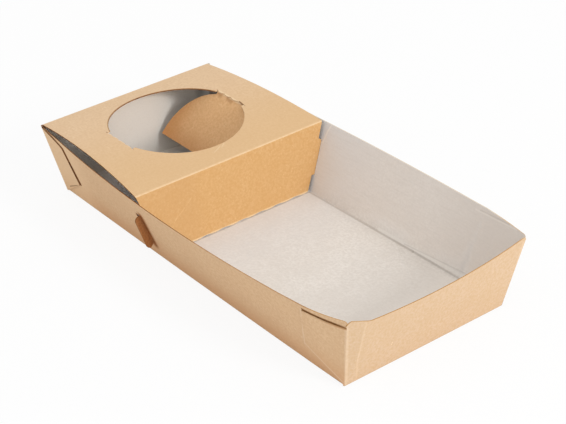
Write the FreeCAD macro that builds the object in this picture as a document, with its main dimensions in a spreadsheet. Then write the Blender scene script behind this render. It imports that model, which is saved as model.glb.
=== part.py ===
import FreeCAD, Part
import itertools
import math
import os

import Sketcher
from FreeCAD import Placement, Rotation, Vector

# Takeaway tray with a cup holder, folded and glued from one die-cut sheet of paperboard.
#
# Frame while modelling: +Z up, the table at Z = 0, +X along the tray from the cup end to the
# food end, and the fold between the floor and the cup-end wall at X = 0.  The near long wall
# is the one on the -Y side.  The finished part is moved so that its origin is the middle of
# its box on the table.  The brown kraft side of the board is the outside of every fold.
#
# The sheet is folded like this.  The long walls rise from the floor.  The two end walls rise
# too, and their glue flaps wrap round the corners onto the outside of the long walls.  The
# cup-end wall goes on over its top as an arched deck with the cup hole, then down as a
# divider, whose side tabs lock through slits in the long walls.  The tray is folded by hand,
# so its two long walls lean and bow a little differently.

os.makedirs("parts", exist_ok=True)
doc = FreeCAD.newDocument("takeaway_tray")

# Driving dimensions in millimetres and degrees: alias, value, meaning
SIZES = [
    ("board", 0.6, "thickness of the paperboard"),
    ("floor_length", 263.0, "floor, fold to fold along X"),
    ("floor_width", 108.4, "floor, fold to fold along Y, before the hand folding's small shifts"),
    ("near_shift_cup", 0.8, "how far the near floor fold is shifted outwards at the cup end"),
    ("near_shift_food", 1.9, "the same at the food end"),
    ("far_shift_cup", -1.4, "how far the far floor fold is shifted outwards at the cup end"),
    ("far_shift_food", -1.0, "the same at the food end"),
    ("wall_height", 41.2, "height of the long walls' rim at the cup end"),
    ("reach_above_rim", 4.8, "height above that rim at which leans and bows are measured"),
    ("near_lean_cup", 7.5, "lean of the near wall at the cup end"),
    ("near_lean_food", 4.1, "lean of the near wall at the food end"),
    ("far_lean_cup", 9.9, "lean of the far wall at the cup end"),
    ("far_lean_food", 9.8, "lean of the far wall at the food end"),
    ("place_start", 0.078, "where a long wall's bow starts, as a share of its length"),
    ("place_middle", 0.47, "place of its middle"),
    ("place_turn", 0.87, "place where it turns towards the food-end corner"),
    ("place_flap", 0.935, "place of the middle of that turn"),
    ("near_bow_start", 2.4, "how far the near wall bows out at those places"),
    ("near_bow_middle", 10.6, "the same at its middle"),
    ("near_bow_turn", 6.3, "the same at its turn"),
    ("near_bow_flap", 4.5, "the same on its food-end flap"),
    ("far_bow_start", 2.8, "how far the far wall bows out at those places"),
    ("far_bow_middle", 9.7, "the same at its middle"),
    ("far_bow_turn", 8.4, "the same at its turn"),
    ("far_bow_flap", 4.9, "the same on its food-end flap"),
    ("floor_bow", 0.06, "share of those bows left at the floor"),
    ("cup_end_lean", 12.2, "lean of the cup-end wall"),
    ("food_end_lean", 8.1, "lean of the food-end wall at its corners"),
    ("food_end_bow", 5.5, "how far its middle bows out beyond that"),
    ("floor_end_bow", 0.1, "how far the floor fold below it bows out"),
    ("facet_width", 11.6, "bent corner of the food-end wall, its width at the reach height"),
    ("facet_turn", 4.2, "how far that bent corner steps out over its width"),
    ("facet_foot", 2.4, "its width at the floor"),
    ("fold_radius", 0.7, "outside radius of a creased fold"),
    ("rim_dip", 0.7, "how far that rim dips on its way to the rise"),
    ("rim_rise_length", 36.3, "length of its rise, up to the food-end fold"),
    ("rim_rise_foot", 0.3, "height of the rise's foot above the cup end's rim"),
    ("rim_rise_half", 0.38, "share of the rise reached half-way along it"),
    ("near_rim_rise", 3.7, "height of the near rim's food end above it"),
    ("far_rim_rise", 2.6, "height of the far rim's food end above it"),
    ("rim_corner", 2.4, "rounding of the top corners at the food end"),
    ("end_rim_middle", 0.4, "height of the food-end wall's rim above it, at its middle"),
    ("end_rim_shoulder", 1.1, "the same where it starts to rise to the near corner"),
    ("end_rim_rise", 13.0, "width over which it rises"),
    ("food_flap_width", 29.1, "food-end glue flap, length of its top edge"),
    ("food_flap_foot_width", 29.0, "reach of its free edge's foot from the floor's corner"),
    ("food_flap_below_rim", 0.4, "how far its top edge is below the cup end's rim"),
    ("food_flap_drop", 1.3, "how far its top edge falls to the free end"),
    ("food_flap_foot", 12.0, "height of its free edge's foot"),
    ("food_flap_heel", 1.2, "height of its lower edge's end at the corner"),
    ("cup_flap_width", 24.0, "cup-end glue flap, length of its top edge"),
    ("cup_flap_foot_width", 21.6, "reach of its free edge's foot from the floor's corner"),
    ("cup_flap_below_rim", 0.2, "how far its top edge is below the rim"),
    ("cup_flap_drop", 3.5, "how far its top edge falls to the free end"),
    ("cup_flap_foot", 13.7, "height of its free edge's foot"),
    ("glue_flap_round", 2.2, "rounding of the glue flaps' free corners"),
    ("deck_back_rise", 1.1, "height above the rim of the fold between cup-end wall and deck"),
    ("deck_set", 1.6, "how far the deck's edges stand inside that wall's corners"),
    ("deck_waist", 0.7, "how far those edges draw in half-way along"),
    ("hole_back_margin", 0.45, "from the cup-end floor fold to the cup hole, along X"),
    ("hole_front_margin", 15.15, "from the cup hole to the fold between deck and divider"),
    ("deck_front_rise", 0.7, "height of that fold above the rim"),
    ("deck_arch", 3.2, "how far the deck arches up between its folds"),
    ("soft_fold_radius", 1.5, "outside radius of the soft fold between deck and divider"),
    ("divider_lean", 4.0, "how far the divider's foot stands beyond that fold"),
    ("foot_clearance", 0.1, "between the divider's foot and the floor"),
    ("foot_waves", 8, "waves along the divider's foot"),
    ("foot_wave_depth", 0.6, "height of those waves"),
    ("foot_step", 2.0, "gap between the divider's lower edge and the long wall"),
    ("edge_clearance", 0.2, "between the divider's middle edge and the long wall"),
    ("near_notch", 2.4, "gap between the divider's upper edge and the near wall"),
    ("far_notch", 2.7, "the same at the far wall"),
    ("notch_below_rim", 10.0, "how far the slanted step below those gaps is below the rim"),
    ("notch_slant", 0.8, "half the height of that step"),
    ("tab_below_rim", 11.5, "how far the locking tab's top is below the rim"),
    ("tab_root", 10.4, "height of its underside in the slit"),
    ("tab_bottom", 8.3, "height of its rounded head's underside"),
    ("tab_reach", 5.3, "how far its head stands out of the long wall"),
    ("tab_top_reach", 3.4, "how far its top does"),
    ("tab_head", 3.0, "radius of the tab's lower corner"),
    ("tab_shoulder", 2.8, "radius of its upper corner"),
    ("slit_clearance", 0.2, "between the tab and its slit"),
    ("slit_hook", 3.6, "length of the slit's hooked upper end"),
    ("slit_hook_height", 2.2, "height of that hooked end"),
    ("cup_hole", 81.1, "diameter of the cup hole"),
    ("cup_hole_side", 0.3, "Y of the cup hole's centre"),
    ("hinge_length", 26.4, "length of each cup flap's wavy hinge"),
    ("hinge_waves", 4, "waves along that hinge"),
    ("near_hinge_wave", 0.6, "depth of the near hinge's waves"),
    ("far_hinge_wave", 1.1, "depth of the far hinge's waves"),
    ("hinge_set", 0.3, "how far a hinge stands outside the hole's circle"),
    ("hinge_nick", 1.6, "length of the pointed nick past each end of a hinge"),
    ("hinge_nick_width", 0.8, "width of that nick at its root"),
    ("kerf", 0.2, "gap left by the cutting rule round the cup flaps"),
    ("cup_flap_angle", 50.5, "how far the cup flaps are pressed down"),
]

sheet = doc.addObject("Spreadsheet::Sheet", "Sizes")
rows = itertools.count(1)


def enter(alias, content, meaning):
    """Write one size into the sheet: a number, or a formula after an equals sign."""
    row = next(rows)
    sheet.set("A%d" % row, alias.replace("_", " "))
    sheet.set("B%d" % row, content)
    sheet.set("C%d" % row, meaning)
    sheet.setAlias("B%d" % row, alias)


for alias, value, meaning in SIZES:
    enter(alias, str(value), meaning)
doc.recompute()


# ---------------------------------------------------------------- sizes as formulas

class Size:
    """A number together with the sheet formula that it comes from."""

    def __init__(self, value, formula):
        self.value = float(value)
        self.formula = formula

    def __add__(self, other):
        other = as_size(other)
        return Size(self.value + other.value, "(%s + %s)" % (self.formula, other.formula))

    def __sub__(self, other):
        other = as_size(other)
        return Size(self.value - other.value, "(%s - %s)" % (self.formula, other.formula))

    def __mul__(self, other):
        other = as_size(other)
        return Size(self.value * other.value, "(%s * %s)" % (self.formula, other.formula))

    def __truediv__(self, other):
        other = as_size(other)
        return Size(self.value / other.value, "(%s / %s)" % (self.formula, other.formula))

    def __radd__(self, other):
        return as_size(other) + self

    def __rsub__(self, other):
        return as_size(other) - self

    def __rmul__(self, other):
        return as_size(other) * self

    def __neg__(self):
        return ZERO - self

    def root(self):
        return Size(math.sqrt(self.value), "sqrt(%s)" % self.formula)


def as_size(number):
    return number if isinstance(number, Size) else Size(number, repr(float(number)))


def size(alias):
    return Size(sheet.get(alias), "Sizes." + alias)


def noted(alias, amount, meaning):
    """Keep a worked-out size in the sheet too, under a name of its own."""
    enter(alias, "=" + amount.formula.replace("Sizes.", ""), meaning)
    doc.recompute()
    return size(alias)


ZERO = as_size(0)
board = size("board")
floor_length = size("floor_length")
wall_height = size("wall_height")
reach = wall_height + size("reach_above_rim")
deck_back_height = wall_height + size("deck_back_rise")
deck_front_height = wall_height + size("deck_front_rise")
tab_top = wall_height - size("tab_below_rim")
tab_root = size("tab_root")
tab_bottom = size("tab_bottom")
hole_radius = size("cup_hole") / 2
hole_x = size("hole_back_margin") + hole_radius
hole_y = size("cup_hole_side")
deck_front = hole_x + hole_radius + size("hole_front_margin")
divider_foot = deck_front + size("divider_lean")
hinge_half = size("hinge_length") / 2
hinge_reach = hole_radius + size("hinge_set")

# The side of the middle that each long wall is on
SIDES = {"near": -1, "far": 1}
# Trimming shapes run this far past everything, and up to this height
FAR = 120.0
above_all = 2 * reach
# A quarter circle's middle lies this share of the radius inside its corner
ROUND_INSET = 1 - math.sqrt(0.5)


# ---------------------------------------------------------------- drawing helpers

def to(x, y):
    """A corner of an outline."""
    return ("corner", as_size(x), as_size(y))


def via(x, y):
    """A point on the arc that joins the corners before and after it."""
    return ("arc", as_size(x), as_size(y))


def on_side(side, points):
    """Turn an outline's distances from the middle into Y on one side of it."""
    return [(kind, distance * SIDES[side], other) for kind, distance, other in points]


def rounded_tip(before, tip, after, radius):
    """Three points that round the tip between two edges; each place is a pair of sizes."""
    ends = []
    for across, up in (before, after):
        across = across - tip[0]
        up = up - tip[1]
        share = radius / (across * across + up * up).root()
        ends.append((across * share, up * share))
    (first_across, first_up), (last_across, last_up) = ends
    return [to(tip[0] + first_across, tip[1] + first_up),
            via(tip[0] + (first_across + last_across) * ROUND_INSET,
                tip[1] + (first_up + last_up) * ROUND_INSET),
            to(tip[0] + last_across, tip[1] + last_up)]


def pin(sketch, geometry, end, x, y):
    """Hold one point of a sketch at two coordinates from the sheet."""
    for kind, coordinate in (("DistanceX", x), ("DistanceY", y)):
        rule = Sketcher.Constraint(kind, -1, 1, geometry, end, coordinate.value)
        index = sketch.addConstraint(rule)
        sketch.setExpression("Constraints[%d]" % index, coordinate.formula)


def end_at(sketch, geometry, point):
    """Which end of a line or arc, 1 or 2, lies at the given point."""
    gaps = [(sketch.getPoint(geometry, end) - point).Length for end in (1, 2)]
    return 1 + gaps.index(min(gaps))


def draw(sketch, outline):
    """Draw a closed outline of lines and arcs, with every point bound to the sheet."""
    corners = [i for i, item in enumerate(outline) if item[0] == "corner"]
    ends = []
    for place, first in enumerate(corners):
        last = corners[(place + 1) % len(corners)]
        start = Vector(outline[first][1].value, outline[first][2].value, 0)
        stop = Vector(outline[last][1].value, outline[last][2].value, 0)
        bend = outline[(first + 1) % len(outline)]
        if bend[0] == "arc":
            middle = Vector(bend[1].value, bend[2].value, 0)
            edge = sketch.addGeometry(Part.Arc(start, middle, stop))
            mark = sketch.addGeometry(Part.Point(middle), True)
            pin(sketch, mark, 1, bend[1], bend[2])
            sketch.addConstraint(Sketcher.Constraint("PointOnObject", mark, 1, edge))
        else:
            edge = sketch.addGeometry(Part.LineSegment(start, stop))
        ends.append((edge, end_at(sketch, edge, start), end_at(sketch, edge, stop)))
    for place, first in enumerate(corners):
        edge, start_end, _ = ends[place]
        before, _, stop_end = ends[place - 1]
        sketch.addConstraint(
            Sketcher.Constraint("Coincident", before, stop_end, edge, start_end))
        pin(sketch, edge, start_end, outline[first][1], outline[first][2])


def sketch_in(body, name, plane, outline, lift=ZERO):
    """A sketch in a body, on one of its own origin planes or lifted off it."""
    sketch = body.newObject("Sketcher::SketchObject", name)
    base = next(item for item in body.Origin.OriginFeatures if item.Role == plane)
    sketch.AttachmentSupport = [(base, "")]
    sketch.MapMode = "FlatFace"
    sketch.AttachmentOffset = Placement(Vector(0, 0, lift.value), Rotation())
    sketch.setExpression("AttachmentOffset.Base.z", lift.formula)
    draw(sketch, outline)
    return sketch


# How a free sketch is turned onto each plane, and which coordinate it is lifted along
TURNS = {
    "XY": (Rotation(), "z"),
    "XZ": (Rotation(Vector(1, 0, 0), 90), "y"),
    "YZ": (Rotation(Vector(1, 1, 1), 120), "x"),
}


def prism(name, plane, outline, start=ZERO, length=None):
    """A straight prism: from start over a length, or through the whole tray without one."""
    turn, lifted = TURNS[plane]
    sketch = doc.addObject("Sketcher::SketchObject", name + "_outline")
    sketch.Placement = Placement(Vector(), turn)
    sketch.setExpression("Placement.Base." + lifted, start.formula)
    draw(sketch, outline)
    solid = doc.addObject("Part::Extrusion", name)
    solid.Base = sketch
    solid.DirMode = "Normal"
    solid.Solid = True
    solid.Symmetric = length is None
    solid.LengthFwd = 2 * FAR
    if length is not None:
        solid.setExpression("LengthFwd", length.formula)
    return solid


def cut(name, base, tool):
    result = doc.addObject("Part::Cut", name)
    result.Base = base
    result.Tool = tool
    return result


def common(name, *shapes):
    result = doc.addObject("Part::MultiCommon", name)
    result.Shapes = list(shapes)
    return result


def fuse(name, *shapes):
    result = doc.addObject("Part::MultiFuse", name)
    result.Shapes = list(shapes)
    return result


# ---------------------------------------------------------------- the tray's nested blocks

def corner_x(end, z):
    """X of the outer corner line of an end wall at a height."""
    if end == "cup":
        return -size("cup_end_lean") * z / reach
    return floor_length + size("food_end_lean") * z / reach


def corner_y(side, end, z):
    """Distance of a long wall's outer face from the middle at one of its ends."""
    fold = size("floor_width") / 2 + size(side + "_shift_" + end)
    return fold + size(side + "_lean_" + end) * z / reach


def wall_y(side, along, bow, z):
    """The same distance at a share of the wall's length, where it bows out by an amount."""
    cup_y = corner_y(side, "cup", z)
    bow_left = size("floor_bow") + (1 - size("floor_bow")) * z / reach
    return cup_y + (corner_y(side, "food", z) - cup_y) * along + bow * bow_left


def rounded_corner(side, end, x, y):
    """A corner of a plan rounded to the fold radius, in the plan's anticlockwise order."""
    radius = size("fold_radius")
    along_x = 1 if end == "cup" else -1
    along_y = -SIDES[side]
    points = [to(x, y + radius * along_y),
              via(x + radius * ROUND_INSET * along_x, y + radius * ROUND_INSET * along_y),
              to(x + radius * along_x, y)]
    return points if along_x == along_y else points[::-1]


def plan_at(z, widen, inset, rounded):
    """The folded tray's plan at a height, anticlockwise from its far corner at the cup end.

    It is widened along Y by one amount and drawn in along X at both ends by another.
    """
    left = corner_x("cup", z)
    right = corner_x("food", z)
    ends = {"cup": left + inset, "food": right - inset}
    corners = {}
    bows = {}
    for side in SIDES:
        for end, x in ends.items():
            y = (corner_y(side, end, z) + widen) * SIDES[side]
            corners[side, end] = rounded_corner(side, end, x, y) if rounded else [to(x, y)]
        points = []
        for draw_point, place in ((to, "start"), (via, "middle"), (to, "turn"), (via, "flap")):
            along = size("place_" + place)
            y = wall_y(side, along, size(side + "_bow_" + place), z) + widen
            points.append(draw_point(left + (right - left) * along, y))
        bows[side] = [(kind, x, y * SIDES[side]) for kind, x, y in points]
    share = z / reach
    facet = size("facet_foot") + (size("facet_width") - size("facet_foot")) * share
    end_bow = size("floor_end_bow") + size("food_end_bow") * share
    facet_y = facet - corner_y("near", "food", z) - widen
    return (corners["far", "cup"] + corners["near", "cup"] + bows["near"]
            + corners["near", "food"]
            + [to(ends["food"] + size("facet_turn") * share, facet_y),
               via(ends["food"] + end_bow, 0)]
            + corners["far", "food"] + bows["far"][::-1])


def leaning_block(name, levels, rounded=False):
    """A solid block lofted through the plans at some levels: height, widening and inset."""
    body = doc.addObject("PartDesign::Body", name)
    plans = []
    for number, (z, widen, inset) in enumerate(levels, start=1):
        plans.append(sketch_in(body, "%s_plan_%d" % (name, number), "XY_Plane",
                               plan_at(z, widen, inset, rounded), z))
    loft = body.newObject("PartDesign::AdditiveLoft", name + "_loft")
    loft.Profile = plans[0]
    loft.Sections = plans[1:]
    loft.Ruled = True
    doc.recompute()
    return body


# A fold's outside is turned in three bands: height and how far the plan is drawn in there
fold_bands = [(ZERO, size("fold_radius")),
              (size("fold_radius") * ROUND_INSET, size("fold_radius") * ROUND_INSET),
              (size("fold_radius"), ZERO)]

# Outside of the end walls and of their glue flaps
flap_skin = leaning_block("flap_skin",
                          [(z, board, drawn_in) for z, drawn_in in fold_bands]
                          + [(reach, board, ZERO)], rounded=True)
# Outside of the long walls, ending at the end walls' inner faces
wall_skin = leaning_block("wall_skin",
                          [(z, -drawn_in, board) for z, drawn_in in fold_bands]
                          + [(reach, ZERO, board)])
# The hollow, running out through both ends and a little above the walls
inside = leaning_block("inside", [(board, -board, -board), (reach + board, -board, -board)])


# ---------------------------------------------------------------- floor and long walls

def divider_front(z):
    """X of the divider's front face at a height."""
    return deck_front + size("divider_lean") * (deck_front_height - z) / deck_front_height


def wall_beside_divider(side, z):
    """Distance of a long wall's outer face from the middle, at the divider and a height."""
    left = corner_x("cup", z)
    along = (deck_front - left) / (corner_x("food", z) - left)
    places = ("start", "middle", "turn")
    bow = ZERO
    for place in places:
        weight = size(side + "_bow_" + place)
        for other in places:
            if other != place:
                weight = weight * (along - size("place_" + other)) \
                    / (size("place_" + place) - size("place_" + other))
        bow = bow + weight
    return wall_y(side, along, bow, z)


wall_foot = {}
wall_top = {}
for side in SIDES:
    wall_foot[side] = noted(side + "_wall_foot", wall_beside_divider(side, ZERO),
                            "the " + side + " wall beside the divider, at the floor")
    wall_top[side] = noted(side + "_wall_top", wall_beside_divider(side, reach),
                           "the " + side + " wall beside the divider, at the reach height")


def long_wall(side, z):
    """Distance of a long wall's outer face from the middle beside the divider."""
    return wall_foot[side] + (wall_top[side] - wall_foot[side]) * z / reach


rim_round = size("rim_corner")
rise_start = floor_length - size("rim_rise_length")
rise_height = wall_height + size("rim_rise_foot")
rim_low = (wall_height + rise_height) / 2 - size("rim_dip")


def above_rim(side, start):
    """What is trimmed off above one long wall's rim."""
    end_height = wall_height + size(side + "_rim_rise")
    end_x = corner_x("food", end_height)
    return prism("above_%s_rim" % side, "XZ", [
        to(-FAR, wall_height),
        to(corner_x("cup", wall_height), wall_height),
        via(rise_start / 2, rim_low),
        to(rise_start, rise_height),
        via((rise_start + end_x) / 2,
            rise_height + (end_height - rise_height) * size("rim_rise_half")),
        to(end_x - rim_round, end_height),
        via(end_x - rim_round * ROUND_INSET, end_height - rim_round * ROUND_INSET),
        to(end_x, end_height - rim_round),
        to(floor_length + FAR, end_height - rim_round),
        to(floor_length + FAR, above_all),
        to(-FAR, above_all),
    ], start=start, length=as_size(FAR))


# The slit beside each end of the divider follows its lean and hooks back at the top
slit_play = size("slit_clearance")
slit_foot = tab_root - slit_play
slit_head = tab_top + slit_play
slit_hook = slit_head - size("slit_hook_height")
slit_back = -(board + slit_play)
slits = prism("slits", "XZ", [
    to(divider_front(slit_foot) + slit_play, slit_foot),
    to(divider_front(slit_head) + slit_play, slit_head),
    to(divider_front(slit_head) + slit_back - size("slit_hook"), slit_head),
    to(divider_front(slit_hook) + slit_back - size("slit_hook"), slit_hook),
    to(divider_front(slit_hook) + slit_back, slit_hook),
    to(divider_front(slit_foot) + slit_back, slit_foot),
])
walls = cut("walls", common("wall_block", wall_skin, flap_skin),
            fuse("wall_cuts", inside, above_rim("near", ZERO), above_rim("far", as_size(FAR)),
                 slits))


# ---------------------------------------------------------------- end walls and glue flaps

skin = cut("skin", flap_skin, wall_skin)
behind_fold = board * 1.5

cup_flap_top = wall_height - size("cup_flap_below_rim")
cup_corner = corner_x("cup", cup_flap_top)
cup_flap_tip = (cup_corner + size("cup_flap_width"), cup_flap_top - size("cup_flap_drop"))
cup_flap_foot = (size("cup_flap_foot_width"), size("cup_flap_foot"))
cup_flap_back = (cup_corner + behind_fold, cup_flap_top)
cup_end = prism("cup_end_region", "XZ", [
    to(behind_fold, -FAR),
    to(behind_fold, 0),
    to(*cup_flap_foot),
    *rounded_tip(cup_flap_foot, cup_flap_tip, cup_flap_back, size("glue_flap_round")),
    to(*cup_flap_back),
    to(corner_x("cup", deck_back_height) + behind_fold, deck_back_height),
    to(-FAR, deck_back_height),
    to(-FAR, -FAR),
])

food_flap_top = wall_height - size("food_flap_below_rim")
food_corner = corner_x("food", food_flap_top)
food_flap_tip = (food_corner - size("food_flap_width"), food_flap_top - size("food_flap_drop"))
food_flap_foot = (floor_length - size("food_flap_foot_width"), size("food_flap_foot"))
food_flap_heel = (floor_length - behind_fold, size("food_flap_heel"))
food_end = prism("food_end_region", "XZ", [
    to(floor_length - behind_fold, -FAR),
    to(floor_length + FAR, -FAR),
    to(floor_length + FAR, above_all),
    to(corner_x("food", above_all) - behind_fold, above_all),
    to(food_corner - behind_fold, food_flap_top),
    to(*food_flap_tip),
    *rounded_tip(food_flap_tip, food_flap_foot, food_flap_heel, size("glue_flap_round")),
    to(*food_flap_heel),
])

# The food-end wall's rim is low in the middle and rises to its near corner past a shoulder
near_end = corner_y("near", "food", food_flap_top) + board
far_end = corner_y("far", "food", food_flap_top) + board
near_rim = wall_height + size("near_rim_rise")
far_rim = wall_height + size("far_rim_rise")
above_end_rim = prism("above_end_rim", "YZ", [
    to(-FAR, food_flap_top),
    to(-near_end, food_flap_top),
    via(rim_round * ROUND_INSET - near_end,
        near_rim - (near_rim - food_flap_top) * ROUND_INSET),
    to(rim_round - near_end, near_rim),
    to(size("end_rim_rise") - near_end, wall_height + size("end_rim_shoulder")),
    via(0, wall_height + size("end_rim_middle")),
    to(far_end - rim_round, far_rim),
    via(far_end - rim_round * ROUND_INSET,
        far_rim - (far_rim - food_flap_top) * ROUND_INSET),
    to(far_end, food_flap_top),
    to(FAR, food_flap_top),
    to(FAR, above_all),
    to(-FAR, above_all),
], start=floor_length - board, length=as_size(FAR))
ends = cut("ends", common("end_sheets", skin, fuse("end_regions", cup_end, food_end)),
           above_end_rim)


# ---------------------------------------------------------------- deck and divider

deck_back = corner_x("cup", deck_back_height)
deck_under = corner_x("cup", deck_back_height - board)
deck_middle = (deck_back + deck_front) / 2
deck_peak = (deck_back_height + deck_front_height) / 2 + size("deck_arch")
foot_z = board + size("foot_clearance")
bridge_section = [
    to(deck_back, deck_back_height),
    via(deck_middle, deck_peak),
    to(deck_front, deck_front_height),
    to(divider_foot, foot_z),
    to(divider_foot - board, foot_z),
    to(deck_front - board, deck_front_height - board),
    via(deck_middle, deck_peak - board),
    to(deck_under, deck_back_height - board),
]
bridge_sheet = doc.addObject("PartDesign::Body", "bridge_sheet")
bridge_profile = sketch_in(bridge_sheet, "bridge_section", "XZ_Plane", bridge_section)
bridge_pad = bridge_sheet.newObject("PartDesign::Pad", "bridge_width")
bridge_pad.Profile = bridge_profile
bridge_pad.Midplane = True
bridge_pad.setExpression("Length", (2 * wall_top["near"] + 4 * size("tab_reach")).formula)
doc.recompute()


def round_edges(body, name, radius, wanted):
    """Fillet the edges of a body's latest feature whose middle passes a test."""
    tip = body.Tip
    names = []
    for number, edge in enumerate(tip.Shape.Edges, start=1):
        middle = edge.valueAt((edge.FirstParameter + edge.LastParameter) / 2)
        if wanted(middle):
            names.append("Edge%d" % number)
    fillet = body.newObject("PartDesign::Fillet", name)
    fillet.Base = (tip, names)
    fillet.setExpression("Radius", radius.formula)
    doc.recompute()


def along_front_fold(inner):
    """Picks the outer or the inner edge of the fold between deck and divider."""
    drop = board.value if inner else 0.0
    x = deck_front.value - drop
    z = deck_front_height.value - drop
    return lambda middle: math.hypot(middle.x - x, middle.z - z) < 1e-3


round_edges(bridge_sheet, "soft_fold_outside", size("soft_fold_radius"),
            along_front_fold(inner=False))
round_edges(bridge_sheet, "soft_fold_inside", size("soft_fold_radius") - board,
            along_front_fold(inner=True))


def deck_back_end(side):
    """Distance of the deck's back corner from the middle."""
    return corner_y(side, "cup", deck_back_height) + board - size("deck_set")


def deck_front_end(side):
    """Distance of the deck's front corner from the middle."""
    return long_wall(side, deck_front_height) - board - size(side + "_notch")


def deck_half(side):
    """Distance of the deck's long edge from the middle, half-way along it."""
    return (deck_back_end(side) + deck_front_end(side)) / 2 - size("deck_waist")


behind_deck = deck_back - board
deck_plan = prism("deck_plan", "XY", [
    to(behind_deck, deck_back_end("far")),
    to(behind_deck, -deck_back_end("near")),
    to(deck_back, -deck_back_end("near")),
    via(deck_middle, -deck_half("near")),
    to(deck_front - board, -deck_front_end("near")),
    to(deck_front - board, deck_front_end("far")),
    via(deck_middle, deck_half("far")),
    to(deck_back, deck_back_end("far")),
])


def divider_side(side):
    """One side of the divider's outline, from the foot up.

    There is the set-back lower edge, the locking tab through the slit, the middle edge close
    to the wall, and the set-back upper edge.
    """
    tab = size("tab_reach")
    top = size("tab_top_reach")
    head = size("tab_head")
    shoulder = size("tab_shoulder")
    slant = size("notch_slant")
    step_low = wall_height - size("notch_below_rim") - slant
    step_high = step_low + 2 * slant
    low_wall = long_wall(side, tab_root)
    high_wall = long_wall(side, tab_top)
    return on_side(side, [
        to(low_wall - board - size("foot_step"), tab_root),
        to(low_wall + slit_play, tab_root),
        to(low_wall + tab - head, tab_bottom),
        via(low_wall + tab - head * ROUND_INSET, tab_bottom + head * ROUND_INSET),
        to(low_wall + tab, tab_bottom + head),
        to(high_wall + top, tab_top - shoulder),
        via(high_wall + top - shoulder * ROUND_INSET, tab_top - shoulder * ROUND_INSET),
        to(high_wall + top - shoulder, tab_top),
        to(high_wall - board - size("edge_clearance"), tab_top),
        to(long_wall(side, step_low) - board - size("edge_clearance"), step_low),
        to(long_wall(side, step_high) - board - size(side + "_notch"), step_high),
        to(deck_front_end(side), deck_front_height),
        to(deck_front_end(side), above_all),
    ])


def foot_edge():
    """The divider's wavy foot, from -Y to +Y: each wave is an arc down and an arc up."""
    near = -(long_wall("near", foot_z) - board - size("foot_step"))
    far = long_wall("far", foot_z) - board - size("foot_step")
    pitch = (far - near) / size("foot_waves") / 2
    depth = size("foot_wave_depth") / 2
    points = []
    for number in range(2 * int(size("foot_waves").value)):
        swing = -depth if number % 2 else depth
        points.append(to(near + pitch * number, foot_z + depth))
        points.append(via(near + pitch * number + pitch / 2, foot_z + depth + swing))
    points.append(to(far, foot_z + depth))
    return points


divider_outline = prism("divider_outline", "YZ",
                        foot_edge() + divider_side("far") + divider_side("near")[::-1],
                        start=deck_front - board,
                        length=size("divider_lean") + 2 * board)

# The cup hole: two arcs of one circle, and a wavy hinge between them on each side
hinge_neck = (hole_radius * hole_radius - hinge_half * hinge_half).root()


def hinge_edge(side):
    """The edge of the deck at one hinge: waves that bulge into the hole, between two nicks."""
    sign = SIDES[side]
    pitch = size("hinge_length") / size("hinge_waves")
    hinge_y = hole_y + hinge_reach * sign
    root_y = hinge_y - size("hinge_nick_width") * sign
    nick_y = (hinge_y + root_y) / 2
    nick_x = (hinge_half + size("hinge_nick")) * sign
    points = [to(hole_x + hinge_half * sign, root_y), to(hole_x + nick_x, nick_y)]
    for number in range(int(size("hinge_waves").value)):
        x = hole_x + (hinge_half - pitch * number) * sign
        points.append(to(x, hinge_y))
        points.append(via(x - pitch / 2 * sign, hinge_y - size(side + "_hinge_wave") * sign))
    points.append(to(hole_x - hinge_half * sign, hinge_y))
    points.append(to(hole_x - nick_x, nick_y))
    points.append(to(hole_x - hinge_half * sign, root_y))
    return points


cup_hole = prism(
    "cup_hole", "XY",
    hinge_edge("far") + [to(hole_x - hinge_half, hole_y + hinge_neck),
                         via(hole_x - hole_radius, hole_y),
                         to(hole_x - hinge_half, hole_y - hinge_neck)]
    + hinge_edge("near") + [to(hole_x + hinge_half, hole_y - hinge_neck),
                            via(hole_x + hole_radius, hole_y),
                            to(hole_x + hinge_half, hole_y + hinge_neck)],
    start=deck_back_height / 2, length=reach)
bridge = cut("bridge", common("bridge_trimmed", bridge_sheet,
                              fuse("bridge_outlines", deck_plan, divider_outline)), cup_hole)


# ---------------------------------------------------------------- cup flaps

# One half of the disc, drawn flat with its hinge along X, then pressed down about the hinge
flap_radius = hole_radius - size("kerf")
flap_neck = (flap_radius * flap_radius - hinge_half * hinge_half).root()
flap_edge = (flap_radius * flap_radius - size("kerf") * size("kerf")).root()
flap_slant = flap_radius * math.sqrt(0.5)
cup_flap = doc.addObject("PartDesign::Body", "cup_flap")
flap_profile = sketch_in(cup_flap, "cup_flap_outline", "XY_Plane", [
    to(-hinge_half, 0),
    to(-hinge_half, flap_neck - hinge_reach),
    via(-flap_slant, flap_slant - hinge_reach),
    to(-flap_edge, size("kerf") - hinge_reach),
    to(flap_edge, size("kerf") - hinge_reach),
    via(flap_slant, flap_slant - hinge_reach),
    to(hinge_half, flap_neck - hinge_reach),
    to(hinge_half, 0),
])
flap_pad = cup_flap.newObject("PartDesign::Pad", "cup_flap_sheet")
flap_pad.Profile = flap_profile
flap_pad.Reversed = True
flap_pad.setExpression("Length", board.formula)
doc.recompute()
cup_flap.Placement = Placement(Vector(), Rotation(Vector(1, 0, 0), size("cup_flap_angle").value))
cup_flap.setExpression("Placement.Base.x", hole_x.formula)
cup_flap.setExpression("Placement.Base.y", (hole_y + hinge_reach).formula)
cup_flap.setExpression("Placement.Base.z", (deck_peak - board / 2).formula)
cup_flap.setExpression("Placement.Rotation.Angle", size("cup_flap_angle").formula)
near_cup_flap = doc.addObject("Part::Mirroring", "near_cup_flap")
near_cup_flap.Source = cup_flap
near_cup_flap.Normal = Vector(0, 1, 0)
near_cup_flap.Base = Vector(0, hole_y.value, 0)
near_cup_flap.setExpression("Base.y", hole_y.formula)


# ---------------------------------------------------------------- the folded sheet

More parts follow.
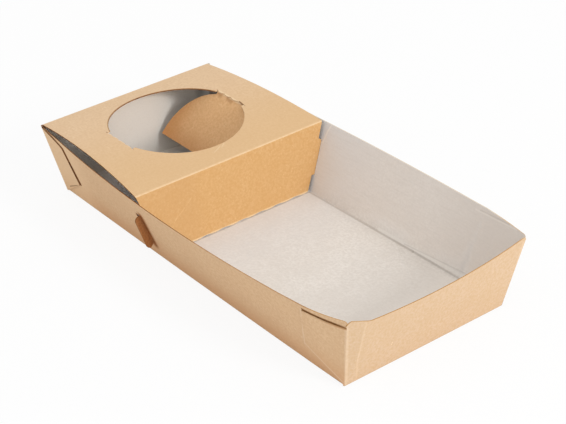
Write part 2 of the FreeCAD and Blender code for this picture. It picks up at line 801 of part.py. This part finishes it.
tray = fuse("tray", walls, ends, bridge, cup_flap, near_cup_flap)
tray.Label = "tray"
tray.Refine = True
doc.recompute()
box = tray.Shape.optimalBoundingBox()
tray.Placement = Placement(Vector(-(box.XMin + box.XMax) / 2, -(box.YMin + box.YMax) / 2,
                                  -box.ZMin), Rotation())
doc.recompute()

for item in doc.Objects:
    if "Invalid" in item.State or "Error" in item.State:
        raise RuntimeError("%s failed: %s" % (item.Name, item.State))
if tray.Shape.isNull() or not tray.Shape.isValid():
    raise RuntimeError("the tray's shape isn't valid")
if len(tray.Shape.Solids) != 1:
    raise RuntimeError("the tray isn't one solid but %d" % len(tray.Shape.Solids))

tray.Shape.exportStep("parts/%s.step" % tray.Label)
box = tray.Shape.optimalBoundingBox()
print("tray: %.1f x %.1f x %.1f mm, %.2f cm3 of board"
      % (box.XLength, box.YLength, box.ZLength, tray.Shape.Volume / 1000))
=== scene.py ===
import math

import bmesh
import bpy
from mathutils import Matrix, Quaternion, Vector
from mathutils.bvhtree import BVHTree


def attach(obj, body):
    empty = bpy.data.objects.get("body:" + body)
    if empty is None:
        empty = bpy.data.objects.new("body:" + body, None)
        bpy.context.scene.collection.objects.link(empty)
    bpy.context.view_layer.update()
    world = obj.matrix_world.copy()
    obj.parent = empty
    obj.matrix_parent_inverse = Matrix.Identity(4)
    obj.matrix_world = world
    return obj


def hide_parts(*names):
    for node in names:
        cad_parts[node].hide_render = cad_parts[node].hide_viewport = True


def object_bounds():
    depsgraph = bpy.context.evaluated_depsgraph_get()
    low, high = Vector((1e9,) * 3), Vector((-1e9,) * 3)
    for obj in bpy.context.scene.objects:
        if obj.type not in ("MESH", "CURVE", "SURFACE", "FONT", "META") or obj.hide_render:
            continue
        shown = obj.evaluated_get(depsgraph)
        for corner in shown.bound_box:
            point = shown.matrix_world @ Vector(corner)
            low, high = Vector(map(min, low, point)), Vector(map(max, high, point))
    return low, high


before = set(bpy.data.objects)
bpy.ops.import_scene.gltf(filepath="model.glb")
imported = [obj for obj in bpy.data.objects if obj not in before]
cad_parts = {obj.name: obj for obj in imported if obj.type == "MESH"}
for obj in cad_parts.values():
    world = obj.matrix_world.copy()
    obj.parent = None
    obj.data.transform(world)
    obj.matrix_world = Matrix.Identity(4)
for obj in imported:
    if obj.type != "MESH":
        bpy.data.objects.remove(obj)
cad_low, cad_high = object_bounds()


# ---------------------------------------------------------------- camera
# A long lens about a metre away, looking down on the tray from beyond its food end.  It
# aims at the middle of the tray and is tilted a little clockwise.

view_from = Vector((0.6789, -0.5050, 0.5287))
view_at = Vector((0.0026, 0.0057, 0.0201))
tilt = Quaternion((0, 0, 1), math.radians(-2.39))
camera_data = bpy.data.cameras.new("camera")
camera_data.lens = 110.9
camera_data.sensor_width = 36.0
camera = bpy.data.objects.new("camera", camera_data)
camera.location = view_from
camera.rotation_mode = "QUATERNION"
camera.rotation_quaternion = (view_at - view_from).to_track_quat("-Z", "Y") @ tilt
bpy.context.scene.collection.objects.link(camera)
bpy.context.scene.camera = camera


# ---------------------------------------------------------------- folded board
# The whole tray is one sheet of 0.6 mm paperboard, die-cut, creased, folded and glued.  Its
# folded shape comes from the drawing.  Each face is told which panel it is on: the outside of
# every panel is brown kraft, the inside is grey recycled liner, and a cut shows raw fibre.

board = 0.0006
cup_end = cad_low.x
hole_middle = Vector((cup_end + 0.0522, 0.0, 0.0))

# The torn hinges, along and across from the middle of the cup hole, and up from the table.
hinge_half_length = 0.0150
hinge_inner, hinge_outer = 0.036, 0.044
hinge_bottom = 0.0405

# The panels, along from the cup end and up from the table.
deck_length, deck_bottom = 0.1095, 0.0408
divider_back, divider_front = 0.1065, 0.1125
flap_reach, flap_tip = 0.1, 0.009
slot_bottom = 0.030

# The outside of the long walls from the middle, at the table and for each metre of height,
# and the start of the upright corner folds from the middle.
wall_foot, wall_lean = 0.0568, 0.32
corner_along, corner_across = 0.129, 0.054

PANELS = ["deck", "divider", "side_wall", "end_wall", "cup_flap", "tab", "liner", "cut"]

shape = bmesh.new()
shape.from_mesh(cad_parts["tray"].data)
bmesh.ops.remove_doubles(shape, verts=shape.verts, dist=1e-6)
solid = BVHTree.FromBMesh(shape)


def on_cut_edge(middle, normal):
    """Whether a face has no other side of the sheet straight behind it."""
    just_inside = middle - normal * 1e-5
    spot, behind, _, _ = solid.ray_cast(just_inside, -normal, 2.2 * board)
    in_corner_fold = (abs(middle.x) > corner_along and abs(middle.y) > corner_across
                      and normal.z < -0.1)
    return not in_corner_fold and (spot is None or behind.dot(normal) > -0.85)


def at_hinge(middle):
    """Whether a place is on the torn line between the deck and a cup flap."""
    along, across, _ = middle - hole_middle
    return (abs(along) < hinge_half_length and hinge_inner < abs(across) < hinge_outer
            and middle.z > hinge_bottom)


def panel_of(face):
    """The panel that a face of the folded sheet belongs to."""
    middle = face.calc_center_median()
    normal = face.normal
    along = middle.x - cup_end
    level = abs(normal.z) > 0.7
    nearly_level = abs(normal.z) > 0.5
    sloping_sideways = abs(normal.x) < 0.05 and 0.55 < abs(normal.z) < 0.72
    facing_an_end = abs(normal.x) > 0.8
    outside_walls = abs(middle.y) > wall_foot + wall_lean * middle.z
    if on_cut_edge(middle, normal):
        return "deck" if at_hinge(middle) else "cut"
    if along > divider_front and middle.z > slot_bottom and level and normal.z > 0:
        return "cut"
    if middle.z < 2 * board and level:
        return "end_wall" if normal.z < 0 else "liner"
    if sloping_sideways and along < flap_reach and middle.z > flap_tip:
        return "cup_flap" if normal.z > 0 else "liner"
    if along < deck_length and middle.z > deck_bottom and nearly_level:
        return "deck" if normal.z > 0 else "liner"
    if divider_back < along < divider_front and facing_an_end:
        if outside_walls:
            return "tab"
        return "divider" if normal.x > 0 else "liner"
    if abs(normal.x) > abs(normal.y):
        return "end_wall" if normal.x * middle.x > 0 else "liner"
    return "side_wall" if normal.y * middle.y > 0 else "liner"


for face in shape.faces:
    face.material_index = PANELS.index(panel_of(face))
    face.smooth = True
sheet_mesh = bpy.data.meshes.new("folded_board")
shape.to_mesh(sheet_mesh)
shape.free()
sheet_mesh.set_sharp_from_angle(angle=math.radians(25))
sheet = bpy.data.objects.new("folded_board", sheet_mesh)
bpy.context.scene.collection.objects.link(sheet)
even_shading = sheet.modifiers.new("even_shading", "WEIGHTED_NORMAL")
even_shading.keep_sharp = True
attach(sheet, "root")
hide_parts("tray")


# ---------------------------------------------------------------- deck
# The arched top of the cup holder: kraft, with a painted highlight along its front fold, two
# light scratches, and nicks and lifted fibre where the cup hole's two hinges were half cut;
# the pale lines along the hinges are also painted light over their shaded grooves.  All the
# panels' papers are made the way this one is: pulp first, then the marks on it, placed in
# millimetres.


def shade(red, green, blue):
    """A colour as it is seen on a chart, 0 to 255, in the shader's own values."""
    return tuple((part / 255) ** 2.2 for part in (red, green, blue)) + (1.0,)


class Paper:
    """A paper surface in the making: its pulp, then its real marks and its painted light and
    shade.
    """

    def __init__(self, name, roughness=0.85):
        self.material = bpy.data.materials.new(name)
        self.material.use_nodes = True
        self.nodes = self.material.node_tree.nodes
        self.links = self.material.node_tree.links
        self.shader = self.nodes["Principled BSDF"]
        self.shader.inputs["Roughness"].default_value = roughness
        self.shader.inputs["Specular IOR Level"].default_value = 0.25
        self.spot = self.nodes.new("ShaderNodeTexCoord").outputs["Object"]
        self.axes = self.nodes.new("ShaderNodeSeparateXYZ")
        self.feed(self.axes.inputs["Vector"], self.spot)
        self.colour = None
        self.height = None

    def feed(self, socket, value):
        """Join a node's output to a socket, or set a plain number, vector or colour on it."""
        if isinstance(value, bpy.types.NodeSocket):
            self.links.new(value, socket)
        else:
            socket.default_value = value

    def reckon(self, operation, first, second=0.0, third=None):
        """Work out one number from others, at every spot on the paper."""
        node = self.nodes.new("ShaderNodeMath")
        node.operation = operation
        self.feed(node.inputs[0], first)
        self.feed(node.inputs[1], second)
        if third is not None:
            self.feed(node.inputs[2], third)
        return node.outputs["Value"]

    def both(self, first, second):
        """Only where one amount and another both hold."""
        return self.reckon("MULTIPLY", first, second)

    def reckon_place(self, operation, first, second=None, scale=None):
        """Work out a place, or a distance, from others."""
        node = self.nodes.new("ShaderNodeVectorMath")
        node.operation = operation
        self.feed(node.inputs[0], first)
        if second is not None:
            self.feed(node.inputs[1], second)
        if scale is not None:
            self.feed(node.inputs["Scale"], scale)
        return node.outputs["Value" if operation in ("DOT_PRODUCT", "LENGTH") else "Vector"]

    def grain(self, scale, detail, stretch=(1, 1, 1), turn=(0, 0, 0)):
        """So many grains a metre, squeezed by the stretch and turned with the board."""
        mapping = self.nodes.new("ShaderNodeMapping")
        mapping.inputs["Scale"].default_value = stretch
        mapping.inputs["Rotation"].default_value = turn
        self.feed(mapping.inputs["Vector"], self.spot)
        noise = self.nodes.new("ShaderNodeTexNoise")
        noise.inputs["Scale"].default_value = scale
        noise.inputs["Detail"].default_value = detail
        self.feed(noise.inputs["Vector"], mapping.outputs["Vector"])
        return noise.outputs["Fac"]

    def fade(self, value, low, high, start=0.0, end=1.0):
        """Turn a value between two limits into another range, smoothly."""
        node = self.nodes.new("ShaderNodeMapRange")
        node.interpolation_type = "SMOOTHSTEP"
        for name, amount in (("From Min", low), ("From Max", high),
                             ("To Min", start), ("To Max", end)):
            self.feed(node.inputs[name], amount)
        self.feed(node.inputs["Value"], value)
        return node.outputs["Result"]

    def ramp(self, axis, start, full, strength=1.0):
        """Nothing at one place along an axis, growing to full strength at another."""
        return self.fade(self.axes.outputs[axis], start / 1000, full / 1000, 0.0, strength)

    def tint(self, amount, colour):
        """Lay a colour over the surface, as strongly as the amount says."""
        mix = self.nodes.new("ShaderNodeMix")
        mix.data_type = "RGBA"
        self.feed(mix.inputs["Factor"], amount)
        self.feed(mix.inputs["A"], self.colour)
        self.feed(mix.inputs["B"], colour)
        self.colour = mix.outputs["Result"]

    def pulp(self, colour, mottle, fleck, fleck_share=0.4, cloud=0.35):
        """Mottled pulp with broad clouds and short flecks of fibre, and its tooth."""
        self.colour = mottle
        fine = self.grain(700, 3)
        self.tint(self.fade(fine, 0.3, 0.7), colour)
        self.tint(self.fade(self.grain(45, 2), 0.35, 0.7, 0, cloud), mottle)
        fibres = self.grain(900, 2, stretch=(0.35, 1, 1), turn=(0.3, 0.2, 0.9))
        self.tint(self.fade(fibres, 1 - fleck_share, 0.8, 0, 0.7), fleck)
        self.height = self.both(fine, 0.35)

    def near(self, points, width, narrow, soft):
        """How close the paper is to a line through some points: 1 on it, 0 a width away.

        A line of two points may be narrow at the first and widen towards the second.
        """
        closest = None
        for start, end in zip(points[:-1], points[1:]):
            start = Vector(start) / 1000
            run = Vector(end) / 1000 - start
            length = run.length
            from_start = self.reckon_place("SUBTRACT", self.spot, start)
            along = self.reckon_place("DOT_PRODUCT", from_start, run / length)
            along = self.reckon("MINIMUM", self.reckon("MAXIMUM", along, 0.0), length)
            foot = self.reckon_place("SCALE", run / length, scale=along)
            gap = self.reckon_place("LENGTH", self.reckon_place("SUBTRACT", from_start, foot))
            closest = gap if closest is None else self.reckon("MINIMUM", closest, gap)
        if narrow is None:
            return self.fade(closest, width / 1000, width / 1000 * soft)
        reach = self.fade(along, 0.0, length, narrow / 1000, width / 1000)
        return self.fade(self.reckon("DIVIDE", closest, reach), 1.0, soft)

    def mark(self, points, width, colour, strength=1.0, lift=0.0, narrow=None, soft=0.35,
             broken=0.0):
        """A crease, cut, scuff, painted shade or highlight: raised or sunk by its lift, whole
        or broken.
        """
        amount = self.near(points, width, narrow, soft)
        if broken:
            patches = self.fade(self.grain(260, 2), 0.35, 0.6, 1 - broken, 1)
            amount = self.both(amount, patches)
        self.tint(self.both(amount, strength), colour)
        if lift:
            self.height = self.reckon("MULTIPLY_ADD", amount, lift, self.height)

    def mark_both_sides(self, points, **how):
        """The same mark on the far side of the tray, as its points say, and the near side."""
        for side in (-1, 1):
            self.mark([(x, y * side, z) for x, y, z in points], **how)

    def finish(self, depth=0.0001):
        """Join the colour and the tooth to the shader, and give the panel its paper."""
        self.feed(self.shader.inputs["Base Color"], self.colour)
        tooth = self.nodes.new("ShaderNodeBump")
        tooth.inputs["Strength"].default_value = 1.0
        tooth.inputs["Distance"].default_value = depth
        self.feed(tooth.inputs["Height"], self.height)
        self.feed(self.shader.inputs["Normal"], tooth.outputs["Normal"])
        sheet_mesh.materials.append(self.material)


# Pale kraft for the painted highlight along the front fold, and for the two real scratches.
fold_highlight_and_scratch = shade(246, 222, 186)
front_fold = [(-35.2, -67, 41.9), (-35.2, 67, 41.9)]
far_hinge = [(-104, 40.2, 45), (-78, 39.9, 45)]
near_hinge = [(-105, -40.4, 45), (-79, -40.4, 45)]
far_nick = [(-83.0, 40.8, 45.3), (-78.6, 40.2, 45.3)]
near_nick = [(-105.2, -40.8, 44.6), (-103.6, -40.2, 44.6)]
long_scratch = [(-48.6, 0.6, 43.3), (-45.6, -5.6, 43.2)]
short_scratch = [(-50.0, 4.6, 43.4), (-47.4, 1.0, 43.3)]

deck = Paper("kraft_deck")
deck.pulp(shade(236, 203, 165), mottle=shade(227, 192, 153), fleck=shade(245, 216, 181))
deck.tint(deck.ramp("X", -130, -40, 0.6), shade(219, 178, 126))
# Painted highlight along the rounded front fold.
deck.mark(front_fold, width=1.4, colour=fold_highlight_and_scratch, strength=0.35, lift=0.3, broken=0.8)
from_hole = deck.reckon_place("SUBTRACT", deck.spot, hole_middle)
from_hole = deck.reckon_place("LENGTH", deck.reckon_place("MULTIPLY", from_hole, (1, 1, 0)))
crushed_rim = deck.fade(from_hole, 0.0414, 0.0408, 0, 0.7)
deck.tint(deck.both(crushed_rim, deck.ramp("X", -98, -106)), shade(150, 106, 56))
# Pale lines along the hinges: lifted fibre, and painted light over the shaded groove.
deck.mark(far_hinge, width=1.3, colour=shade(246, 216, 176), strength=0.8, lift=0.3)
deck.mark(near_hinge, width=0.8, colour=shade(240, 214, 178), strength=0.5, lift=0.3)
deck.mark(far_nick, width=0.9, colour=shade(120, 78, 42), strength=0.9)
deck.mark(near_nick, width=0.6, colour=shade(140, 98, 60), strength=0.7)
deck.mark(long_scratch, width=0.35, colour=fold_highlight_and_scratch, strength=0.5, lift=0.4)
deck.mark(short_scratch, width=0.3, colour=fold_highlight_and_scratch, strength=0.45, lift=0.4)
deck.finish()


# ---------------------------------------------------------------- divider
# The front of the cup holder: the same kraft, painted warmer for the light thrown back by the
# food compartment, with a painted highlight along its fold, a pale line along its torn wavy
# foot that is lifted fibre and painted highlight, and two faint scuffs.

long_scuff = [(-34.1, -31.7, 27.6), (-33.6, -37.5, 22.8), (-33.2, -43.7, 18.4)]
short_scuff = [(-33.4, -41.0, 22.6), (-33.0, -46.0, 14.8)]

divider = Paper("kraft_divider")
divider.pulp(shade(219, 175, 122), mottle=shade(211, 163, 106), fleck=shade(230, 193, 144),
             fleck_share=0.42)
divider.tint(divider.ramp("Y", -20, -34, 0.25), shade(204, 160, 112))
# Painted highlight along the rounded front fold.
divider.mark(front_fold, width=0.8, colour=fold_highlight_and_scratch, strength=0.3, lift=0.3, broken=0.8)
# A pale line along the foot: lifted fibre and painted highlight.
divider.tint(divider.ramp("Z", 2.1, 1.2, 0.75), shade(250, 222, 178))
divider.mark(long_scuff, width=0.6, colour=shade(246, 208, 156), strength=0.22, lift=0.3,
             broken=0.8)
divider.mark(short_scuff, width=0.4, colour=shade(242, 202, 148), strength=0.2, lift=0.2,
             broken=0.8)
divider.finish()


# ---------------------------------------------------------------- long walls
# Kraft again, with the glue flaps of both ends on the outside.  Painted shadow darkens the
# gaps under the cup-end flap's free edge and top and under the food-end flap's top, the flaps'
# other outlines are faint ridges with a painted highlight, and the paper is painted darker
# towards the floor, as shade.

# Dark brown for the painted shadow of the gap under the cup-end flap's free edge.
flap_gap_shadow = shade(120, 72, 38)
# Pale kraft for the painted highlight on faint ridges and folds.
ridge_highlight = shade(242, 216, 186)
cup_flap_edge = [(-118.6, 63.2, 36.6), (-109.8, 58.8, 14.4)]
cup_flap_top = [(-138.0, 62.3, 41.4), (-126.0, 62.9, 39.0), (-118.6, 63.2, 36.6)]
cup_flap_foot = [(-109.8, 58.8, 14.2), (-126.3, 57.0, 5.4)]
food_flap_slot = [(109.0, 65.4, 39.9), (124.0, 63.5, 40.4), (137.6, 60.9, 40.9)]
food_slot_lip = [(109.0, 65.3, 39.1), (124.0, 63.4, 39.6), (137.6, 60.8, 40.1)]
food_flap_edge = [(107.6, 65.2, 39.0), (106.6, 64.2, 33.0), (104.0, 60.4, 14.1)]
food_flap_foot = [(104.0, 60.4, 14.1), (118.1, 58.5, 7.3), (130.3, 57.4, 2.6)]
food_corner = [(137.4, 60.4, 38.6), (131.6, 56.4, 1.0)]
tab_shadow = [(-33.6, 66.3, 29.7), (-31.6, 60.2, 9.5)]

side_wall = Paper("kraft_long_walls")
side_wall.pulp(shade(229, 194, 154), mottle=shade(219, 181, 141), fleck=shade(238, 205, 169))
# Painted shade: darker and more orange towards the floor.
side_wall.tint(side_wall.ramp("Z", 20, 0, 0.8), shade(216, 170, 128))
side_wall.tint(side_wall.ramp("X", -85, -115, 0.6), shade(240, 205, 164))
# Painted shadow of the gaps under the cup-end flap's free edge and top; a thin dark line along
# its foot.
side_wall.mark_both_sides(cup_flap_edge, width=1.3, colour=flap_gap_shadow, strength=0.95,
                          narrow=1.2, soft=0.5)
side_wall.mark_both_sides(cup_flap_top, width=1.3, colour=shade(152, 102, 62), strength=0.8)
side_wall.mark_both_sides(cup_flap_foot, width=0.5, colour=shade(116, 80, 52), strength=0.7)
# Painted shadow in the gap over the food-end flap's top; the paler lip below is its raw edge.
side_wall.mark_both_sides(food_flap_slot, width=0.9, colour=shade(140, 92, 50), strength=0.9)
side_wall.mark_both_sides(food_slot_lip, width=0.8, colour=shade(182, 134, 88), strength=0.6)
# Painted highlight on the ridges of the food-end flap's outline and the upright corner fold.
side_wall.mark_both_sides(food_flap_edge, width=0.7, colour=ridge_highlight, strength=0.4, lift=0.4)
side_wall.mark_both_sides(food_flap_foot, width=0.7, colour=ridge_highlight, strength=0.4, lift=0.4)
side_wall.mark_both_sides(food_corner, width=1.6, colour=ridge_highlight, strength=0.35, lift=0.3,
                          broken=0.3)
side_wall.mark_both_sides(tab_shadow, width=4.6, colour=shade(146, 86, 40), strength=0.95,
                          soft=0.05)
side_wall.finish()


# ---------------------------------------------------------------- end walls
# Kraft, painted a little darker than the deck's to offset the lamp that faces the food end,
# with one bent corner on the food end and a painted highlight along each upright corner fold.
# The floor's underside is the same paper.

bent_corner = [(141.7, -50.9, 42.0), (139.7, -51.5, 34.0), (134.8, -51.9, 14.4),
               (131.8, -49.5, 3.0)]
corner_fold = [(137.4, 60.4, 40.6), (131.6, 56.4, 1.0)]
bare_speck = [(136.1, -29.4, 17.4), (135.7, -29.6, 15.6)]
speck_shadow = [(136.0, -29.6, 16.6), (136.0, -29.4, 16.5)]

end_wall = Paper("kraft_end_walls")
# Kraft painted a little darker than the deck's, to offset the lamp that faces the food end.
end_wall.pulp(shade(216, 187, 157), mottle=shade(208, 176, 139), fleck=shade(224, 201, 176))
end_wall.mark(bent_corner, width=0.7, colour=shade(242, 216, 184), strength=0.22, lift=0.3)
# Painted highlight along each upright corner fold.
end_wall.mark_both_sides(corner_fold, width=1.6, colour=ridge_highlight, strength=0.3, lift=0.3,
                         broken=0.3)
end_wall.mark(bare_speck, width=0.4, colour=shade(250, 226, 194), strength=0.7)
end_wall.mark(speck_shadow, width=0.3, colour=shade(150, 112, 78), strength=0.8)
end_wall.finish()


# ---------------------------------------------------------------- cup flaps
# The two halves of the cup hole's disc, pressed down on their half-cut hinges.  Their kraft
# is painted deeper and more orange towards the tips and the curved edge, as the shade of the
# hole, and paler on the side towards the divider as painted light; the hinge is painted light
# over its shaded groove, with painted shade under its humps.

hinge_groove_light = [(-105, 40.7, 44.4), (-78, 40.7, 44.4)]
shaded_hump_lines = ([(-102.8, 39.6, 43.6), (-100.0, 39.2, 43.2)],
                 [(-93.5, 39.6, 43.6), (-89.5, 39.2, 43.2)])

cup_flap = Paper("kraft_cup_flaps")
cup_flap.pulp(shade(244, 198, 147), mottle=shade(231, 182, 129), fleck=shade(250, 212, 164),
              fleck_share=0.38, cloud=0.4)
# Painted shade: deeper and more orange towards the tip and the curved edge.
cup_flap.tint(cup_flap.ramp("Z", 24, 10, 0.5), shade(196, 128, 74))
cup_flap.tint(cup_flap.ramp("X", -110, -131, 0.5), shade(222, 152, 88))
# Painted light: paler on the side towards the divider.
cup_flap.tint(cup_flap.ramp("X", -78, -54, 0.7), shade(252, 212, 164))
# Painted light over the shaded groove of the hinge.
cup_flap.mark(hinge_groove_light, width=1.1, colour=shade(246, 210, 164), soft=0.7)
# Painted shade under the humps of the torn hinge.
for hump_shadow in shaded_hump_lines:
    cup_flap.mark(hump_shadow, width=2.2, colour=shade(168, 114, 68), strength=0.4, soft=0)
cup_flap.finish()


# ---------------------------------------------------------------- locking tabs
# The divider's tabs, pushed out through the slits in the long walls: kraft painted darker as
# shade, with more painted shade along the root and a painted highlight on the outer edge.

tab_root_shade = [(-33.8, 66.8, 30), (-32.0, 60.0, 8)]
tab_edge_highlight = [(-34.6, 69.6, 29), (-33.0, 66.0, 12)]

tab = Paper("kraft_tabs")
# Kraft painted darker, as shade.
tab.pulp(shade(190, 132, 84), mottle=shade(172, 114, 70), fleck=shade(206, 150, 102))
# Painted shade along the root of the tab.
tab.mark_both_sides(tab_root_shade, width=2.0, colour=shade(150, 98, 60), strength=0.4, soft=0.1)
# Painted highlight on the outer edge.
tab.mark_both_sides(tab_edge_highlight, width=0.8, colour=shade(206, 152, 106), strength=0.5)
tab.finish()


# ---------------------------------------------------------------- liner
# The grey inside: recycled pulp with faint lines of the paper machine along the walls.  A
# soft rolled crease runs along the foot of the far wall and the folding has pressed in faint
# ridges, both drawn with painted highlight and painted shade.  The grey is painted darker and
# cooler under the deck, as shade, and paler or darker in other places as painted light and
# shade.

foot_crease = [(-31, 51.6, 0.7), (60, 53.0, 0.9)]
crease_end = [(129, 53.9, 1.0), (60, 53.0, 0.9)]
rolled_board = [(30, 53.4, 1.7), (65, 53.8, 2.4), (99, 54.0, 3.2), (129, 54.4, 4.0)]
roll_top = [(52, 53.6, 2.0), (99.8, 54.7, 5.2), (128, 55.6, 7.2)]
pressed_ridge = [(94.6, 67.7, 38.2), (103.4, 67.4, 38.8), (112.9, 66.3, 40.1),
                 (122.5, 65.0, 41.6), (129.7, 63.7, 42.6)]
pressed_groove = [(98.0, 67.8, 39.2), (112.9, 66.6, 40.9), (122.5, 65.3, 42.4)]
divider_ridge_highlight = [(-29.6, 69.0, 40), (-31.1, 67.1, 36.5), (-32.6, 64.3, 29.5)]
divider_foot_shadow = [(-31.0, -52.0, 0.7), (-31.0, 51.4, 0.7)]
flap_hinge_light = [(-105, 40.6, 44.2), (-78, 40.6, 44.2)]
near_corner_shade = [(-142.7, -62.6, 41.9), (-142.4, -60.9, 41.0)]

liner = Paper("liner")
liner.pulp(shade(236, 229, 221), mottle=shade(224, 216, 207), fleck=shade(246, 240, 233),
           cloud=0.45)
# Painted light: paler on the far wall.
liner.tint(liner.ramp("Y", 53, 56, 0.5), shade(242, 235, 229))
food_end = liner.ramp("X", 50, 120)
# Painted shade: darker on the far wall towards the food end.
liner.tint(liner.both(food_end, liner.ramp("Y", 53.5, 56, 0.6)), shade(220, 211, 203))
# Painted light on the floor towards the food end, where the food-end wall's shadow falls.
liner.tint(liner.both(food_end, liner.ramp("Y", 52.5, 50, 0.9)), shade(248, 240, 231))
# Painted light: cooler grey towards the divider, to offset the warm light thrown off it.
liner.tint(liner.ramp("X", 30, -31, 0.5), shade(226, 227, 230))
# Painted shade: darker and cooler under the deck.
liner.tint(liner.ramp("X", -42, -46, 0.85), shade(198, 200, 203))
# Painted light: paler on the inside of the cup-end wall.
liner.tint(liner.ramp("X", -122, -129, 0.9), shade(234, 229, 220))
machine_lines = liner.fade(liner.grain(1100, 2, stretch=(0.09, 1, 1)), 0.45, 0.7)
on_walls = liner.fade(liner.axes.outputs["Z"], 0.003, 0.006, 0.08, 0.16)
liner.tint(liner.both(machine_lines, on_walls), shade(214, 206, 198))
# Painted shade along the foot crease and above the roll, and painted highlight on the rolled
# board.
liner.mark(foot_crease, width=1.2, colour=shade(170, 158, 146), strength=0.5, soft=0.2,
           lift=-0.4)
liner.mark(crease_end, width=1.2, colour=shade(176, 165, 154), strength=0.45, lift=-0.3,
           narrow=0.7, soft=0.2)
liner.mark(rolled_board, width=1.5, colour=shade(242, 236, 228), strength=0.6, lift=0.5)
liner.mark(roll_top, width=0.5, colour=shade(196, 188, 180), strength=0.35, lift=-0.4)
# Painted highlight and painted shade along the pressed line below the far rim.
liner.mark(pressed_ridge, width=0.7, colour=shade(248, 241, 233), strength=0.35, lift=0.3)
liner.mark(pressed_groove, width=0.7, colour=shade(190, 180, 170), strength=0.35, lift=-0.2)
# Painted highlight on a pressed ridge beside the divider's top.
liner.mark(divider_ridge_highlight, width=0.8, colour=shade(250, 244, 236), strength=0.6, lift=0.5)
# Painted shadow of the gap under the divider's wavy foot.
liner.mark(divider_foot_shadow, width=0.7, colour=shade(170, 150, 126), strength=0.5, broken=0.5)
# Painted light over the shaded groove of the hinge.
liner.mark(flap_hinge_light, width=1.4, colour=shade(240, 206, 162), soft=0.8)
# Painted shade in the near corner of the cup end.
liner.mark(near_corner_shade, width=1.8, colour=shade(140, 98, 64), strength=0.9)
# Painted light on the floor under the near cup flap.
under_near_flap = liner.both(liner.ramp("X", -42, -46), liner.ramp("Y", -22, -27, 0.9))
liner.tint(liner.both(under_near_flap, liner.ramp("Z", 4, 2)), shade(246, 246, 246))
# Painted shade in the far corner of the cup end.
far_corner_shade = liner.both(liner.ramp("X", -125, -130), liner.ramp("Y", 46, 52, 0.7))
liner.tint(far_corner_shade, shade(140, 134, 130))
liner.finish()


# ---------------------------------------------------------------- cut edges
# Raw brown fibre along every rim, flap and hole, where the steel rule went through.  The
# rims are painted paler on the far wall and towards the food end, as highlight.

slot_in_rim = [(109.0, 65.4, 40.4), (124.0, 63.5, 40.5), (137.6, 60.9, 40.7)]

cut = Paper("cut_edges", roughness=0.95)
cut.pulp(shade(160, 106, 62), mottle=shade(132, 84, 46), fleck=shade(196, 150, 102),
         fleck_share=0.45)
rim = cut.ramp("Z", 34, 37)
# Painted highlight: the rims paler on the far wall and towards the food end.
cut.tint(cut.both(rim, cut.ramp("X", -30, 60, 0.45)), shade(206, 160, 112))
cut.tint(cut.both(rim, cut.ramp("Y", 55, 62, 0.9)), shade(236, 224, 204))
cut.tint(cut.both(rim, cut.ramp("X", 105, 120, 0.6)), shade(206, 156, 92))
cut.mark_both_sides(slot_in_rim, width=1.6, colour=shade(164, 114, 68), strength=0.95,
                    soft=0.8)
cut.finish(depth=0.00015)


# ---------------------------------------------------------------- table and light
# A white sweep under the tray, a bright studio all round, and one small soft lamp, which
# stands beyond the food end, a little higher than the eye.

sweep_reach = 4.0
under_tray = Matrix.Translation((0, 0, -0.0002))
floor_shape = bmesh.new()
bmesh.ops.create_grid(floor_shape, x_segments=1, y_segments=1, size=sweep_reach,
                      matrix=under_tray)
floor_mesh = bpy.data.meshes.new("floor")
floor_shape.to_mesh(floor_mesh)
floor_shape.free()
floor = bpy.data.objects.new("floor", floor_mesh)
bpy.context.scene.collection.objects.link(floor)


def show_white(tree, share, lit, out):
    """Show plain white, by a share, wherever the eye or a reflection meets the backdrop."""
    nodes, links = tree.nodes, tree.links
    path = nodes.new("ShaderNodeLightPath")
    seen = path.outputs["Is Camera Ray"]
    for other in ("Is Glossy Ray", "Is Transmission Ray"):
        either = nodes.new("ShaderNodeMath")
        either.operation = "MAXIMUM"
        links.new(seen, either.inputs[0])
        links.new(path.outputs[other], either.inputs[1])
        seen = either.outputs["Value"]
    part = nodes.new("ShaderNodeMath")
    part.operation = "MULTIPLY"
    part.inputs[1].default_value = share
    links.new(seen, part.inputs[0])
    white = nodes.new("ShaderNodeEmission")
    mixed = nodes.new("ShaderNodeMixShader")
    links.new(part.outputs["Value"], mixed.inputs["Fac"])
    links.new(lit, mixed.inputs[1])
    links.new(white.outputs["Emission"], mixed.inputs[2])
    links.new(mixed.outputs["Shader"], out)


sweep = bpy.data.materials.new("white_sweep")
sweep.use_nodes = True
nodes = sweep.node_tree.nodes
nodes["Principled BSDF"].inputs["Base Color"].default_value = (0.93, 0.93, 0.93, 1)
nodes["Principled BSDF"].inputs["Roughness"].default_value = 1.0
show_white(sweep.node_tree, 0.9, nodes["Principled BSDF"].outputs["BSDF"],
           nodes["Material Output"].inputs["Surface"])
floor_mesh.materials.append(sweep)

world = bpy.data.worlds.new("studio")
world.use_nodes = True
nodes = world.node_tree.nodes
nodes["Background"].inputs["Color"].default_value = (1, 1, 1, 1)
nodes["Background"].inputs["Strength"].default_value = 0.78
show_white(world.node_tree, 1.0, nodes["Background"].outputs["Background"],
           nodes["World Output"].inputs["Surface"])
bpy.context.scene.world = world
bpy.context.scene.view_settings.view_transform = "Standard"

tray_middle = (cad_low + cad_high) / 2
lamp_from = Vector((1.5, 0.36, 0.84))
softbox = bpy.data.lights.new("key", "AREA")
softbox.size = 0.4
softbox.energy = 13
lamp = bpy.data.objects.new("key", softbox)
lamp.location = lamp_from
lamp.rotation_mode = "QUATERNION"
lamp.rotation_quaternion = (tray_middle - lamp_from).to_track_quat("-Z", "Y")
bpy.context.scene.collection.objects.link(lamp)
